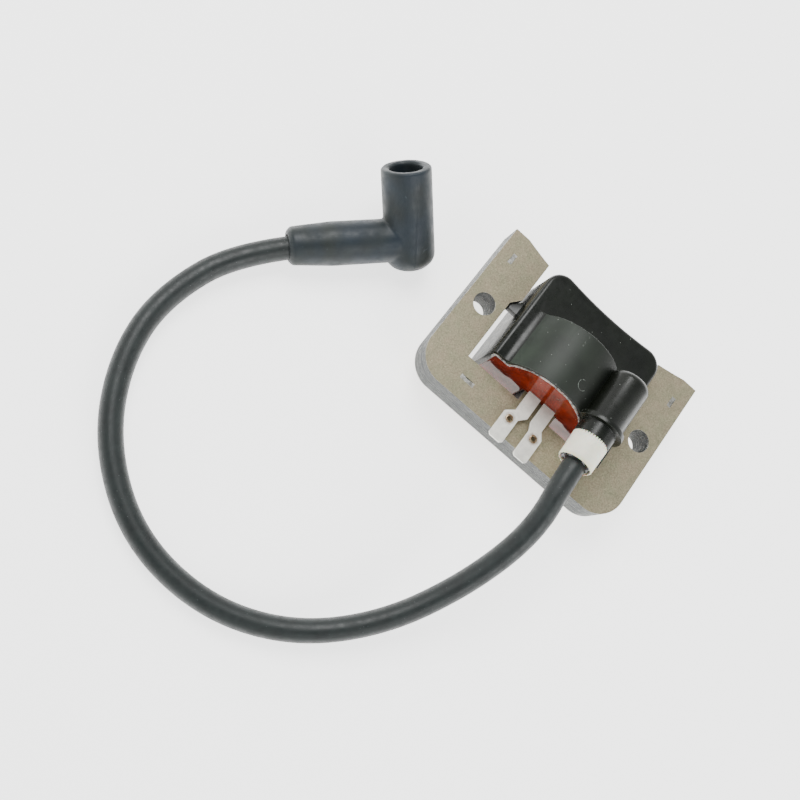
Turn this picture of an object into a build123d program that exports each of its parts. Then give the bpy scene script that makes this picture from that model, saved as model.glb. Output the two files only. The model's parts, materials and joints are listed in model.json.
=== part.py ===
"""Small-engine ignition coil: laminated core, potted coil, high-tension lead and plug boot.

Millimetres. The origin is midway between the two mounting holes, on the underside of
the core. +Y points at the flywheel, +Z is up and the hole axes are parallel to it.
"""
import os
from math import cos, radians, sin, sqrt, tan

from build123d import *

os.makedirs("parts", exist_ok=True)

# ---------------------------------------------------------------- driving dimensions
# Laminated core
bolt_from_side = 6.2
bolt_hole_radius = 3.45
yoke_back = 27.8
yoke_width = 12.1
side_leg_width = 11.95
centre_leg_width = 12.0
pole_shoe_width = 14.5
shoe_step_start = 5.8
shoe_step_end = 9.0
pole_tip_y = 25.8
pole_tip_flat = 5.1
pole_arc_radius = 132.0
core_corner_radius = 9.2
sheet_thickness = 0.635
sheet_count = 15
leg_clinch_length = 3.6
yoke_clinch_length = 4.8
clinch_width = 1.4
clinch_depth = 0.5
clinch_from_side = 4.5
clinch_from_tip = 8.7
yoke_clinch_x = -21.2

# Moulded housing
housing_half_width = 21.6
housing_side_gap = 3.65
housing_below_core = 7.2
housing_above_core = 7.2
housing_open_y = -12.2
housing_wall = 1.6
housing_corner_radius = 5.5
housing_edge_radius = 1.4
pole_stand_out = 1.05
bulge_x = -2.0
bulge_centre_above_core = 1.3
bulge_side_step = 6.3
bulge_end_y = 7.0
bulge_blend_radius = 4.0
bulge_edge_radius = 0.5
bulge_overlap = 3.0
bulge_side_margin = 1.5
lug_reach = 3.0
lug_width = 3.2
lug_root = 0.5
lug_tip = 0.6
lug_lead_in = 1.2
lug_thickness = 2.4
lug_below_core_top = 0.6

# Output tower, neck and collar, all on one axis parallel to Y
tower_from_side = 7.0
tower_above_core = 12.775
tower_radius = 6.25
tower_end_y = 6.4
tower_end_radius = 2.4
tower_bore_radius = 4.5
tower_bore_start = 2.0
tower_slot_width = 6.3
flange_radius = 7.4
flange_thickness = 1.4
neck_radius = 5.6
neck_length = 4.2
spigot_radius = 4.7
spigot_length = 4.0
collar_radius = 5.45
collar_mouth_radius = 5.25
collar_length = 8.3
collar_wall = 0.5
collar_mouth_chamfer = 0.3
sealant_setback = 0.5
sealant_sag = 0.5
sealant_overlap = 0.4

# Windings, as thicknesses outwards from the centre leg
leg_clearance = 0.25
bobbin_wall = 0.8
primary_build = 1.3
tape_thickness = 0.25
secondary_build = 1.3
rib_stand = 0.3
bobbin_start_y = -9.8
bobbin_end_y = 17.4
primary_flange = 1.0
rib_thickness = 0.8
rib_count = 6

# Electronics
board_thickness = 1.6
board_side_gap = 4.3
board_x = -2.0
board_gap = 1.25
board_end_y = 3.2
riser_setback = 0.4
capacitor_size = (9.0, 5.0, 5.0)
capacitor_y = -0.6
transistor_offset = -4.2
transistor_y = -7.2
transistor_radius = 2.3
transistor_flat = 1.3
transistor_height = 4.2
controller_size = (5.0, 4.0, 1.6)
controller_offset = 3.6
controller_y = -7.0
diode_radius = 1.0
diode_length = 4.2
diode_start_y = -4.4
diode_offsets = (-8.2, -5.8)
resistor_size = (3.2, 1.6, 0.6)
resistor_offset = 8.0
resistor_places = (-8.2, -5.2, -2.2)
wire_radius = 0.3
wire_bend = 0.45
wire_spread = 4.0
wire_setback = 0.5
strap_width = 0.9
strap_bottom = 2.0
pin_radius = 0.9
pin_reach = 2.0
output_bend = 1.2

# Spade terminals
tab_thickness = 0.8
tab_above_core = 1.2
tab_tip_y = -30.3
tab_shoulder_y = -19.4
tab_blade_y = -21.6
tab_neck_width = 4.35
tab_blade_width = 4.9
tab_tip_chamfer = 0.7
tab_hole_y = -22.8
tab_hole_radius = 0.75
kill_neck_x = -3.05
kill_blade_x = -5.3
supply_neck_x = 2.6
supply_blade_x = 3.9

# High-tension lead
lead_radius = 3.4
lead_core_radius = 0.65
lead_seal_clearance = 0.1

# Plug boot, measured from the crossing of its two axes
boot_arm_length = 36.4
boot_lead_insertion = 15.5
boot_arm_radius = 6.45
boot_entry_radius = 5.6
boot_entry_taper = 13.0
boot_entry_edge = 1.2
boot_mouth_radius = 7.3
boot_heel_end_radius = 7.5
boot_socket_reach = 22.0
boot_socket_depth = 8.8
boot_mouth_edge = 0.6
boot_bore_chamfer = 0.5
boot_bore_radius = 4.8
boot_bore_floor = 5.0
boot_clip_seat_radius = 4.3
boot_clip_seat_floor = -3.6
boot_passage_radius = 1.6
boot_heel_radius = 5.0
boot_tilt = 38.0
boot_lean_back = 5.0
swivel_clearance = 0.05
clip_radius = 3.85
clip_wall = 0.5
clip_length = 7.4
clip_base = 0.8
clip_slot = 1.6
spike_disc_thickness = 1.0
spike_disc_gap = 0.3
spike_radius = 0.6
spike_length = 7.0

# ---------------------------------------------------------------- derived places
touching = 0.01
leg_inner_x = housing_half_width + housing_side_gap
core_half_width = leg_inner_x + side_leg_width
bolt_spacing = 2 * (core_half_width - bolt_from_side)
clinch_x = core_half_width - clinch_from_side
core_thickness = sheet_thickness * sheet_count
arc_centre_y = pole_tip_y + sqrt(pole_arc_radius**2 - (core_half_width - pole_tip_flat) ** 2)
yoke_inner_y = yoke_width - yoke_back
shoe_inner_x = core_half_width - pole_shoe_width
leg_half = centre_leg_width / 2

housing_bottom = -housing_below_core
housing_top = core_thickness + housing_above_core
housing_height = housing_top - housing_bottom
housing_arc_radius = pole_arc_radius + pole_stand_out
bulge_z = core_thickness + bulge_centre_above_core
bulge_radius = housing_half_width - bulge_side_step
tower_x = housing_half_width - tower_from_side
tower_z = core_thickness + tower_above_core
board_width = 2 * (bulge_radius - board_side_gap)

neck_end_y = housing_open_y - neck_length
spigot_end_y = neck_end_y - spigot_length
collar_end_y = neck_end_y - collar_length
collar_bore_radius = collar_mouth_radius - collar_wall
tower_face_y = housing_open_y + tower_bore_start
lead_bore_radius = lead_radius + lead_seal_clearance

layer_bobbin = leg_clearance + bobbin_wall
layer_primary = layer_bobbin + primary_build
layer_tape = layer_primary + tape_thickness
layer_secondary_wall = layer_tape + bobbin_wall
layer_secondary = layer_secondary_wall + secondary_build
layer_rib = layer_secondary + rib_stand

board_bottom = core_thickness + layer_rib + board_gap
board_top = board_bottom + board_thickness
riser_back_y = housing_open_y + riser_setback + tab_thickness
diode_z = board_top + diode_radius
diode_places = [(board_x + offset, diode_z) for offset in diode_offsets]
resistor_spots = [(board_x + resistor_offset, y, board_top) for y in resistor_places]
tab_bottom = core_thickness + tab_above_core

# The lead leaves along the tower axis, drops over the yoke and lies on the floor.
floor_z = housing_bottom
lead_on_floor = floor_z + lead_radius + 0.05
lead_route = [
    (tower_x, -12.0, tower_z),
    (tower_x, -29.0, tower_z),
    (17.8, -46.0, 17.3),
    (13.4, -67.0, 8.5),
    (2.7, -89.0, 1.2),
    (-15.0, -106.3, -3.0),
    (-38.3, -114.8, lead_on_floor),
    (-64.0, -112.4, lead_on_floor),
    (-85.1, -98.4, lead_on_floor),
    (-97.4, -79.0, lead_on_floor),
    (-101.2, -57.8, lead_on_floor),
    (-93.2, -31.4, -2.2),
    (-74.0, -11.6, -0.15),
]


def corner_radii(route):
    """Radius at each corner: 0.45 of the shorter run over the tangent of half the turn."""
    radii = []
    for before, corner, after in zip(route, route[1:], route[2:]):
        run_in = Vector(*corner) - Vector(*before)
        run_out = Vector(*after) - Vector(*corner)
        turn = radians(run_in.get_angle(run_out))
        radii.append(0.45 * min(run_in.length, run_out.length) / tan(turn / 2))
    return radii


def leg_ring(y, inner, outer):
    """Rectangular ring around the centre leg at y, between two distances from the leg."""
    with BuildSketch(Plane.XZ.offset(-y)) as ring:
        with Locations((0, core_thickness / 2)):
            RectangleRounded(
                centre_leg_width + 2 * outer, core_thickness + 2 * outer, outer + leg_clearance
            )
            RectangleRounded(
                centre_leg_width + 2 * inner,
                core_thickness + 2 * inner,
                inner + leg_clearance,
                mode=Mode.SUBTRACT,
            )
    return ring.sketch


def clinch_outline(length, place):
    """V-shaped section of a mark punched into a sheet's top, on an upright plane along its length."""
    with BuildSketch(place) as mark:
        with BuildLine():
            Polyline((-length / 2, 0), (0, -clinch_depth), (length / 2, 0), close=True)
        make_face()
    return mark.sketch


def disc_across(y, radius):
    """Disc on the tower axis, in the plane across it at y."""
    with BuildSketch(Plane.XZ.offset(-y)) as disc:
        with Locations((tower_x, tower_z)):
            Circle(radius)
    return disc.sketch


# ---------------------------------------------------------------- laminated core
with BuildSketch() as sheet_outline:
    with Locations((0, -yoke_back)):
        Rectangle(2 * core_half_width, yoke_width, align=(Align.CENTER, Align.MIN))
        Rectangle(centre_leg_width, yoke_back + pole_tip_y, align=(Align.CENTER, Align.MIN))
    with GridLocations(2 * core_half_width - side_leg_width, 1, 2, 1):
        with Locations((0, -yoke_back)):
            Rectangle(side_leg_width, yoke_back + pole_tip_y, align=(Align.CENTER, Align.MIN))
    with BuildLine():
        Polyline(
            (core_half_width, shoe_step_start),
            (leg_inner_x, shoe_step_start),
            (shoe_inner_x, shoe_step_end),
            (shoe_inner_x, pole_tip_y),
            (core_half_width, pole_tip_y),
            close=True,
        )
    make_face()
    mirror(about=Plane.YZ)
    with Locations((0, arc_centre_y)):
        Circle(pole_arc_radius, mode=Mode.SUBTRACT)
    fillet(sheet_outline.vertices().group_by(Axis.Y)[0], core_corner_radius)
    with GridLocations(bolt_spacing, 1, 2, 1):
        Circle(bolt_hole_radius, mode=Mode.SUBTRACT)

with BuildPart() as plain_sheet:
    add(sheet_outline.sketch)
    extrude(amount=sheet_thickness)

with BuildPart() as top_sheet:
    add(plain_sheet.part)
    for side in (-1, 1):
        leg_mark = (side * clinch_x, pole_tip_y - clinch_from_tip, sheet_thickness)
        along_leg = Plane(origin=leg_mark, x_dir=(0, 1, 0), z_dir=(1, 0, 0))
        extrude(
            clinch_outline(leg_clinch_length, along_leg),
            amount=clinch_width / 2,
            both=True,
            mode=Mode.SUBTRACT,
        )
    yoke_mark = (yoke_clinch_x, yoke_width / 2 - yoke_back, sheet_thickness)
    along_yoke = Plane(origin=yoke_mark, x_dir=(1, 0, 0), z_dir=(0, -1, 0))
    extrude(
        clinch_outline(yoke_clinch_length, along_yoke),
        amount=clinch_width / 2,
        both=True,
        mode=Mode.SUBTRACT,
    )

sheets = [
    plain_sheet.part.moved(Location((0, 0, level * sheet_thickness)))
    for level in range(sheet_count - 1)
]
sheets.append(top_sheet.part.moved(Location((0, 0, core_thickness - sheet_thickness))))
core_laminations = Compound(label="core_laminations", children=sheets)
export_step(core_laminations, "parts/core_laminations.step")

# ---------------------------------------------------------------- windings
bobbin_length = bobbin_end_y - bobbin_start_y
wire_exit_z = core_thickness + layer_bobbin + primary_build / 2
wire_exits = [(-wire_spread, wire_exit_z), (wire_spread, wire_exit_z)]

with BuildPart() as primary_bobbin:
    extrude(leg_ring(bobbin_start_y, leg_clearance, layer_bobbin), amount=-bobbin_length)
    for flange_y in (bobbin_start_y, bobbin_end_y - primary_flange):
        extrude(leg_ring(flange_y, leg_clearance, layer_tape), amount=-primary_flange)
    with BuildSketch(Plane.XZ.offset(-bobbin_start_y)):
        with Locations(*wire_exits):
            Circle(wire_radius)
    extrude(amount=-primary_flange, mode=Mode.SUBTRACT)
primary_bobbin.part.label = "primary_bobbin"
export_step(primary_bobbin.part, "parts/primary_bobbin.step")

winding_start_y = bobbin_start_y + primary_flange
winding_length = bobbin_length - 2 * primary_flange
with BuildPart() as primary_winding:
    extrude(leg_ring(winding_start_y, layer_bobbin, layer_primary), amount=-winding_length)
primary_winding.part.label = "primary_winding"
export_step(primary_winding.part, "parts/primary_winding.step")

with BuildPart() as insulation_tape:
    extrude(leg_ring(winding_start_y, layer_primary, layer_tape), amount=-winding_length)
insulation_tape.part.label = "insulation_tape"
export_step(insulation_tape.part, "parts/insulation_tape.step")

rib_pitch = (bobbin_length - rib_thickness) / (rib_count - 1)
rib_places = [bobbin_start_y + step * rib_pitch for step in range(rib_count)]
with BuildPart() as secondary_bobbin:
    extrude(leg_ring(bobbin_start_y, layer_tape, layer_secondary_wall), amount=-bobbin_length)
    for rib_y in rib_places:
        extrude(leg_ring(rib_y, layer_tape, layer_rib), amount=-rib_thickness)
secondary_bobbin.part.label = "secondary_bobbin"
export_step(secondary_bobbin.part, "parts/secondary_bobbin.step")

with BuildPart() as secondary_winding:
    for rib_y in rib_places[:-1]:
        section = leg_ring(rib_y + rib_thickness, layer_secondary_wall, layer_secondary)
        extrude(section, amount=-(rib_pitch - rib_thickness))
secondary_winding.part.label = "secondary_winding"
export_step(secondary_winding.part, "parts/secondary_winding.step")

# ---------------------------------------------------------------- electronics
from_front = (Align.CENTER, Align.MIN, Align.MIN)
on_board = (Align.CENTER, Align.CENTER, Align.MIN)
with BuildPart() as circuit_board:
    with Locations((board_x, riser_back_y, board_bottom)):
        Box(board_width, board_end_y - riser_back_y, board_thickness, align=from_front)
circuit_board.part.label = "circuit_board"
export_step(circuit_board.part, "parts/circuit_board.step")

with BuildPart() as storage_capacitor:
    with Locations((board_x, capacitor_y, board_top)):
        Box(*capacitor_size, align=on_board)
    fillet(storage_capacitor.edges().filter_by(Axis.Z), 0.6)
storage_capacitor.part.label = "storage_capacitor"
export_step(storage_capacitor.part, "parts/storage_capacitor.step")

with BuildPart() as power_transistor:
    with BuildSketch(Plane.XY.offset(board_top)):
        with Locations((board_x + transistor_offset, transistor_y)):
            Circle(transistor_radius)
            with Locations((0, -transistor_flat)):
                Rectangle(
                    3 * transistor_radius,
                    transistor_radius,
                    align=(Align.CENTER, Align.MAX),
                    mode=Mode.SUBTRACT,
                )
    extrude(amount=transistor_height)
power_transistor.part.label = "power_transistor"
export_step(power_transistor.part, "parts/power_transistor.step")

with BuildPart() as timing_controller:
    with Locations((board_x + controller_offset, controller_y, board_top)):
        Box(*controller_size, align=on_board)
    chamfer(timing_controller.edges().group_by(Axis.Z)[-1], 0.25)
timing_controller.part.label = "timing_controller"
export_step(timing_controller.part, "parts/timing_controller.step")

with BuildPart() as diodes:
    with BuildSketch(Plane.XZ.offset(-diode_start_y)):
        with Locations(*diode_places):
            Circle(diode_radius)
    extrude(amount=-diode_length)
diodes.part.label = "diodes"
export_step(diodes.part, "parts/diodes.step")

with BuildPart() as resistors:
    with Locations(*resistor_spots):
        Box(*resistor_size, align=on_board)
resistors.part.label = "resistors"
export_step(resistors.part, "parts/resistors.step")

wire_y = bobbin_start_y - wire_setback
wires = []
for exit_x, exit_z in wire_exits:
    with BuildPart() as hook_up_wire:
        with BuildLine() as wire_path:
            FilletPolyline(
                (exit_x, winding_start_y, exit_z),
                (exit_x, wire_y, exit_z),
                (exit_x, wire_y, board_bottom),
                radius=wire_bend,
            )
        with BuildSketch(Plane.XZ.offset(-winding_start_y)):
            with Locations((exit_x, exit_z)):
                Circle(wire_radius)
        sweep(path=wire_path.line)
    wires.append(hook_up_wire.part)
hook_up_wires = Compound(label="hook_up_wires", children=wires)
export_step(hook_up_wires, "parts/hook_up_wires.step")

with BuildPart() as core_ground_strap:
    with Locations((leg_half, riser_back_y, strap_bottom)):
        Box(
            leg_clearance,
            strap_width,
            board_top - strap_bottom,
            align=(Align.MIN, Align.MAX, Align.MIN),
        )
core_ground_strap.part.label = "core_ground_strap"
export_step(core_ground_strap.part, "parts/core_ground_strap.step")

lead_start_y = lead_route[0][1]
with BuildPart() as output_pin:
    extrude(disc_across(lead_start_y, pin_radius), amount=lead_start_y - pin_reach)
output_pin.part.label = "output_pin"
export_step(output_pin.part, "parts/output_pin.step")

output_y = rib_places[1] + rib_thickness + (rib_pitch - rib_thickness) / 2
output_z = core_thickness
with BuildPart() as output_wire:
    with BuildLine() as output_path:
        FilletPolyline(
            (leg_half + layer_secondary, output_y, output_z),
            (tower_x, output_y, output_z),
            (tower_x, output_y, tower_z - pin_radius / 2),
            radius=output_bend,
        )
    with BuildSketch(Plane.YZ.offset(leg_half + layer_secondary)):
        with Locations((output_y, output_z)):
            Circle(wire_radius)
    sweep(path=output_path.line)
    add(output_pin.part, mode=Mode.SUBTRACT)
output_wire.part.label = "output_wire"
export_step(output_wire.part, "parts/output_wire.step")


# ---------------------------------------------------------------- spade terminals
def spade_outline(neck_x, blade_x):
    """Flat pattern of a spade terminal whose blade is set over from its neck."""
    with BuildSketch(Plane.XY.offset(tab_bottom)) as outline:
        with BuildLine():
            Polyline(
                (neck_x - tab_neck_width / 2, riser_back_y),
                (neck_x - tab_neck_width / 2, tab_shoulder_y),
                (blade_x - tab_blade_width / 2, tab_blade_y),
                (blade_x - tab_blade_width / 2, tab_tip_y + tab_tip_chamfer),
                (blade_x - tab_blade_width / 2 + tab_tip_chamfer, tab_tip_y),
                (blade_x + tab_blade_width / 2 - tab_tip_chamfer, tab_tip_y),
                (blade_x + tab_blade_width / 2, tab_tip_y + tab_tip_chamfer),
                (blade_x + tab_blade_width / 2, tab_blade_y),
                (neck_x + tab_neck_width / 2, tab_shoulder_y),
                (neck_x + tab_neck_width / 2, riser_back_y),
                close=True,
            )
        make_face()
        with Locations((blade_x, tab_hole_y)):
            Circle(tab_hole_radius, mode=Mode.SUBTRACT)
    return outline.sketch


riser_size = (tab_neck_width, tab_thickness, board_top - tab_bottom)
riser_align = (Align.CENTER, Align.MAX, Align.MIN)
with BuildPart() as kill_terminal:
    extrude(spade_outline(kill_neck_x, kill_blade_x), amount=tab_thickness)
    with Locations((kill_neck_x, riser_back_y, tab_bottom)):
        Box(*riser_size, align=riser_align)
kill_terminal.part.label = "kill_terminal"
export_step(kill_terminal.part, "parts/kill_terminal.step")

with BuildPart() as supply_terminal:
    extrude(spade_outline(supply_neck_x, supply_blade_x), amount=tab_thickness)
    with Locations((supply_neck_x, riser_back_y, tab_bottom)):
        Box(*riser_size, align=riser_align)
supply_terminal.part.label = "supply_terminal"
export_step(supply_terminal.part, "parts/supply_terminal.step")

# ---------------------------------------------------------------- moulded housing
with BuildPart() as bulge:
    with BuildSketch(Plane.XZ.offset(-housing_open_y)) as bulge_section:
        with Locations((0, housing_top)):
            Rectangle(
                2 * (housing_half_width - bulge_side_margin),
                bulge_overlap,
                align=(Align.CENTER, Align.MAX),
            )
        with Locations((bulge_x, bulge_z)):
            Circle(bulge_radius)
        at_top = [spot for spot in bulge_section.vertices() if abs(spot.Y - housing_top) < touching]
        fillet(sorted(at_top, key=lambda spot: spot.X)[1], bulge_blend_radius)
    extrude(amount=-(bulge_end_y - housing_open_y))
    far_face = bulge.faces().sort_by(Axis.Y)[-1]
    fillet(far_face.edges().sort_by(Axis.Z)[-1], bulge_edge_radius)

with BuildPart() as tower:
    with BuildSketch(Plane.XZ.offset(-housing_open_y)):
        with Locations((tower_x, tower_z)):
            Circle(tower_radius)
            Rectangle(
                2 * tower_radius,
                tower_z - housing_top + housing_wall / 2,
                align=(Align.CENTER, Align.MAX),
            )
    extrude(amount=-(tower_end_y - housing_open_y))
    fillet(tower.faces().sort_by(Axis.Y)[-1].edges().sort_by(Axis.Z)[1:], tower_end_radius)
    extrude(disc_across(housing_open_y, flange_radius), amount=-flange_thickness)
    extrude(disc_across(housing_open_y, neck_radius), amount=neck_length)
    extrude(disc_across(neck_end_y, spigot_radius), amount=spigot_length)

with BuildPart() as cavity:
    inner_half = housing_half_width - housing_wall
    with BuildSketch(Plane.XY.offset(housing_bottom + housing_wall)) as cavity_plan:
        with Locations((0, housing_open_y)):
            Rectangle(2 * inner_half, 40, align=(Align.CENTER, Align.MIN))
        with Locations((0, arc_centre_y)):
            Circle(housing_arc_radius + housing_wall, mode=Mode.SUBTRACT)
        far_corners = cavity_plan.vertices().filter_by_position(Axis.Y, housing_open_y + 5, arc_centre_y)
        fillet(far_corners, housing_corner_radius - housing_wall)
    extrude(amount=housing_height - 2 * housing_wall)
    with BuildSketch(Plane.XZ.offset(-housing_open_y)):
        with Locations((bulge_x, bulge_z)):
            Circle(bulge_radius - housing_wall)
    extrude(amount=-(bulge_end_y - housing_wall - housing_open_y))
    extrude(disc_across(tower_face_y, tower_bore_radius), amount=-(tower_end_y - housing_wall - tower_face_y))
    with Locations((tower_x, tower_face_y, tower_z)):
        Box(
            tower_slot_width,
            tower_end_y - housing_wall - tower_face_y,
            tower_z - housing_top + 2 * housing_wall,
            align=(Align.CENTER, Align.MIN, Align.MAX),
        )

with BuildPart() as coil_housing:
    with BuildSketch(Plane.XY.offset(housing_bottom)) as housing_plan:
        with Locations((0, housing_open_y)):
            Rectangle(2 * housing_half_width, 40, align=(Align.CENTER, Align.MIN))
        with Locations((0, arc_centre_y)):
            Circle(housing_arc_radius, mode=Mode.SUBTRACT)
        far_corners = housing_plan.vertices().filter_by_position(Axis.Y, housing_open_y + 5, arc_centre_y)
        fillet(far_corners, housing_corner_radius)
    extrude(amount=housing_height)
    levels = coil_housing.edges().group_by(Axis.Z)
    rims = levels[0] + levels[-1]
    fillet(rims.filter_by_position(Axis.Y, housing_open_y + touching, arc_centre_y), housing_edge_radius)
    with BuildSketch(Plane.XY.offset(core_thickness - lug_below_core_top)):
        with BuildLine():
            Polyline(
                (housing_half_width - lug_root, shoe_step_start - lug_lead_in),
                (housing_half_width + lug_reach, shoe_step_start - lug_lead_in),
                (housing_half_width + lug_reach, shoe_step_start),
                (housing_half_width + lug_tip, shoe_step_start + lug_width),
                (housing_half_width - lug_root, shoe_step_start + lug_width),
                close=True,
            )
        make_face()
        mirror(about=Plane.YZ)
    extrude(amount=-lug_thickness)
    add(bulge.part)
    add(tower.part)
    add(cavity.part, mode=Mode.SUBTRACT)
    extrude(
        disc_across(tower_face_y, lead_bore_radius),
        amount=tower_face_y - spigot_end_y,
        mode=Mode.SUBTRACT,
    )
    with Locations((0, bobbin_end_y, core_thickness / 2)):
        Box(
            centre_leg_width + 2 * leg_clearance,
            20,
            core_thickness + 2 * leg_clearance,
            align=(Align.CENTER, Align.MIN, Align.CENTER),
            mode=Mode.SUBTRACT,
        )
coil_housing.part.label = "coil_housing"
export_step(coil_housing.part, "parts/coil_housing.step")

# ---------------------------------------------------------------- potting resin
with BuildPart() as potting_resin:
    add(cavity.part)
    with Locations((0, housing_open_y, core_thickness / 2)):
        Box(
            centre_leg_width + 2 * leg_clearance,
            60,
            core_thickness + 2 * leg_clearance,
            align=(Align.CENTER, Align.MIN, Align.CENTER),
            mode=Mode.SUBTRACT,
        )
    for piece in (
        primary_bobbin.part,
        primary_winding.part,
        insulation_tape.part,
        secondary_bobbin.part,
        secondary_winding.part,
        circuit_board.part,
        storage_capacitor.part,
        power_transistor.part,
        timing_controller.part,
        diodes.part,
        resistors.part,
        core_ground_strap.part,
        output_pin.part,
        output_wire.part,
        kill_terminal.part,
        supply_terminal.part,
        *wires,
    ):
        add(piece, mode=Mode.SUBTRACT)
potting_resin.part.label = "potting_resin"
export_step(potting_resin.part, "parts/potting_resin.step")

# ---------------------------------------------------------------- lead
radii = corner_radii(lead_route)
print("lead corner radii:", [round(radius, 1) for radius in radii])
with BuildPart() as ignition_lead:
    with BuildLine() as lead_path:
        FilletPolyline(*lead_route, radius=radii)
    with BuildSketch(Plane.XZ.offset(-lead_route[0][1])):
        with Locations((tower_x, tower_z)):
            Circle(lead_radius)
    sweep(path=lead_path.line)
    arm_axis = (Vector(*lead_route[-1]) - Vector(*lead_route[-2])).normalized()
    lead_end = Plane(origin=lead_route[-1], z_dir=arm_axis)
    with BuildSketch(lead_end):
        Circle(lead_core_radius)
    extrude(amount=-spike_length - lead_core_radius, mode=Mode.SUBTRACT)
ignition_lead.part.label = "ignition_lead"
export_step(ignition_lead.part, "parts/ignition_lead.step")
print("lead length:", round(sum(edge.length for edge in lead_path.edges()), 1), "mm")

with BuildPart() as lead_seal:
    extrude(disc_across(tower_face_y, lead_bore_radius), amount=tower_face_y - lead_route[0][1])
    add(output_pin.part, mode=Mode.SUBTRACT)
lead_seal.part.label = "lead_seal"
export_step(lead_seal.part, "parts/lead_seal.step")

# Local x is the distance from the tower axis, local y the distance towards the mouth.
collar_plane = Plane(origin=(tower_x, neck_end_y, tower_z), x_dir=(1, 0, 0), z_dir=(0, 0, 1))
collar_axis = Axis((tower_x, neck_end_y, tower_z), (0, 1, 0))
with BuildPart() as lead_collar:
    with BuildSketch(collar_plane):
        with BuildLine():
            Polyline(
                (collar_bore_radius, 0),
                (collar_radius, 0),
                (collar_mouth_radius, -collar_length + collar_mouth_chamfer),
                (collar_mouth_radius - collar_mouth_chamfer / 2, -collar_length),
                (collar_bore_radius, -collar_length),
                close=True,
            )
        make_face()
    revolve(axis=collar_axis)
lead_collar.part.label = "lead_collar"
export_step(lead_collar.part, "parts/lead_collar.step")

with BuildPart() as collar_sealant:
    with BuildSketch(collar_plane):
        with BuildLine():
            outer_edge = (collar_bore_radius, -collar_length + sealant_setback)
            inner_edge = (lead_radius - sealant_overlap, -collar_length + sealant_setback / 2)
            Polyline(
                inner_edge,
                (lead_radius - sealant_overlap, -spigot_length),
                (collar_bore_radius, -spigot_length),
                outer_edge,
            )
            ThreePointArc(
                outer_edge,
                (
                    (outer_edge[0] + inner_edge[0]) / 2,
                    (outer_edge[1] + inner_edge[1]) / 2 + sealant_sag,
                ),
                inner_edge,
            )
        make_face()
    revolve(axis=collar_axis)
    add(ignition_lead.part, mode=Mode.SUBTRACT)
collar_sealant.part.label = "collar_sealant"
export_step(collar_sealant.part, "parts/collar_sealant.step")

# ---------------------------------------------------------------- plug boot
# Local x runs from the lead towards the elbow, local z out of the mouth.
elbow = Vector(*lead_route[-1]) + arm_axis * (boot_arm_length - boot_lead_insertion)
level_side = Vector(0, 0, 1).cross(arm_axis).normalized()
upright = arm_axis.cross(level_side)
square_mouth = level_side * cos(radians(boot_tilt)) + upright * sin(radians(boot_tilt))
mouth_axis = square_mouth * cos(radians(boot_lean_back)) - arm_axis * sin(radians(boot_lean_back))
boot_plane = Plane(origin=elbow, x_dir=arm_axis, z_dir=mouth_axis)
arm_start_plane = Plane(origin=elbow - arm_axis * boot_arm_length, x_dir=mouth_axis, z_dir=arm_axis)

with BuildPart() as spark_plug_boot:
    with BuildSketch(boot_plane.offset(-boot_socket_depth)):
        Circle(boot_heel_end_radius)
    with BuildSketch(boot_plane.offset(boot_socket_reach)):
        Circle(boot_mouth_radius)
    loft()
    ends = spark_plug_boot.edges().filter_by(GeomType.CIRCLE)
    heel = ends.sort_by_distance(boot_plane.offset(-boot_socket_depth).origin)[0]
    fillet(heel, boot_heel_radius)
    ends = spark_plug_boot.edges().filter_by(GeomType.CIRCLE)
    mouth = ends.sort_by_distance(boot_plane.offset(boot_socket_reach).origin)[0]
    fillet(mouth, boot_mouth_edge)
    with BuildSketch(Plane(origin=elbow, x_dir=arm_axis, z_dir=mouth_axis.cross(arm_axis))):
        with BuildLine():
            Polyline(
                (0, 0),
                (-boot_arm_length, 0),
                (-boot_arm_length, boot_entry_radius - boot_entry_edge),
                (-boot_arm_length + boot_entry_edge, boot_entry_radius),
                (-boot_arm_length + boot_entry_taper, boot_arm_radius),
                (0, boot_arm_radius),
                close=True,
            )
        make_face()
    revolve(axis=Axis(elbow, arm_axis))
    with BuildSketch(boot_plane.offset(boot_bore_floor)):
        Circle(boot_bore_radius)
    extrude(amount=boot_socket_reach - boot_bore_floor, mode=Mode.SUBTRACT)
    with BuildSketch(boot_plane.offset(boot_socket_reach - boot_bore_chamfer)):
        Circle(boot_bore_radius)
    with BuildSketch(boot_plane.offset(boot_socket_reach)):
        Circle(boot_bore_radius + boot_bore_chamfer)
    loft(mode=Mode.SUBTRACT)
    with BuildSketch(boot_plane.offset(boot_clip_seat_floor)):
        Circle(boot_clip_seat_radius)
    extrude(amount=boot_bore_floor - boot_clip_seat_floor, mode=Mode.SUBTRACT)
    with BuildSketch(arm_start_plane):
        Circle(lead_radius + swivel_clearance)
    extrude(amount=boot_lead_insertion, mode=Mode.SUBTRACT)
    with BuildSketch(arm_start_plane):
        Circle(boot_passage_radius)
    extrude(amount=boot_arm_length, mode=Mode.SUBTRACT)
spark_plug_boot.part.label = "spark_plug_boot"
export_step(spark_plug_boot.part, "parts/spark_plug_boot.step")

with BuildPart() as plug_terminal_clip:
    with BuildSketch(boot_plane.offset(boot_clip_seat_floor)):
        Circle(boot_clip_seat_radius)
    extrude(amount=clip_base)
    with BuildSketch(boot_plane.offset(boot_clip_seat_floor + clip_base)):
        Circle(clip_radius)
        Circle(clip_radius - clip_wall, mode=Mode.SUBTRACT)
        with Locations((0, clip_radius)):
            Rectangle(clip_slot, 2 * clip_radius, mode=Mode.SUBTRACT)
    extrude(amount=clip_length)
plug_terminal_clip.part.label = "plug_terminal_clip"
export_step(plug_terminal_clip.part, "parts/plug_terminal_clip.step")

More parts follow.
